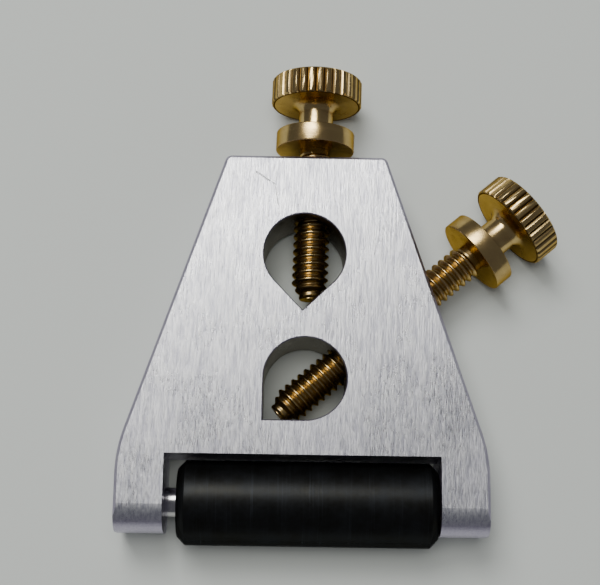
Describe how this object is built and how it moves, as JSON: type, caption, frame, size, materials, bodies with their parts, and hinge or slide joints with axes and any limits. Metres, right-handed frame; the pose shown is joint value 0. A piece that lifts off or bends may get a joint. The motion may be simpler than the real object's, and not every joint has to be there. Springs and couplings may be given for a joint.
{
  "type": "honing guide",
  "caption": "Tapered flat metal block with a roller between its legs, two tool holes with a square corner and a knurled thumbscrew into each hole.",
  "frame": {"origin": "on the roller's axis, midway between the legs and midway through the block's thickness", "axes": "+X along the roller towards the side with the side thumbscrew, +Y towards the top edge and the end thumbscrew, +Z out of the front face"},
  "size_m": [0.0574, 0.063, 0.0122],
  "materials": {
    "block": "brushed along its height, bevelled edges",
    "axle": "ground and polished",
    "roller": "blackened, with fine turning marks",
    "thumbscrews": "turned and knurled, lightly tarnished"
  },
  "bodies": {
    "guide_body": {"block": "block", "roller_axle": "axle"},
    "roller": {"roller": "roller"},
    "end_thumbscrew": {"end_thumbscrew": "thumbscrews"},
    "side_thumbscrew": {"side_thumbscrew": "thumbscrews"}
  },
  "joints": [
    {"name": "roller_spin", "type": "hinge", "parent": "guide_body", "child": "roller", "pos_m": [0, 0, 0], "axis": [1, 0, 0], "continuous": true},
    {"name": "end_screw_travel", "type": "slide", "parent": "guide_body", "child": "end_thumbscrew", "axis": [0.0244, 0.9997, 0], "range_m": [-0.0001, 0.0105]},
    {"name": "side_screw_travel", "type": "slide", "parent": "guide_body", "child": "side_thumbscrew", "axis": [0.7632, 0.6461, 0], "range_m": [-0.00025, 0.0105]}
  ]
}
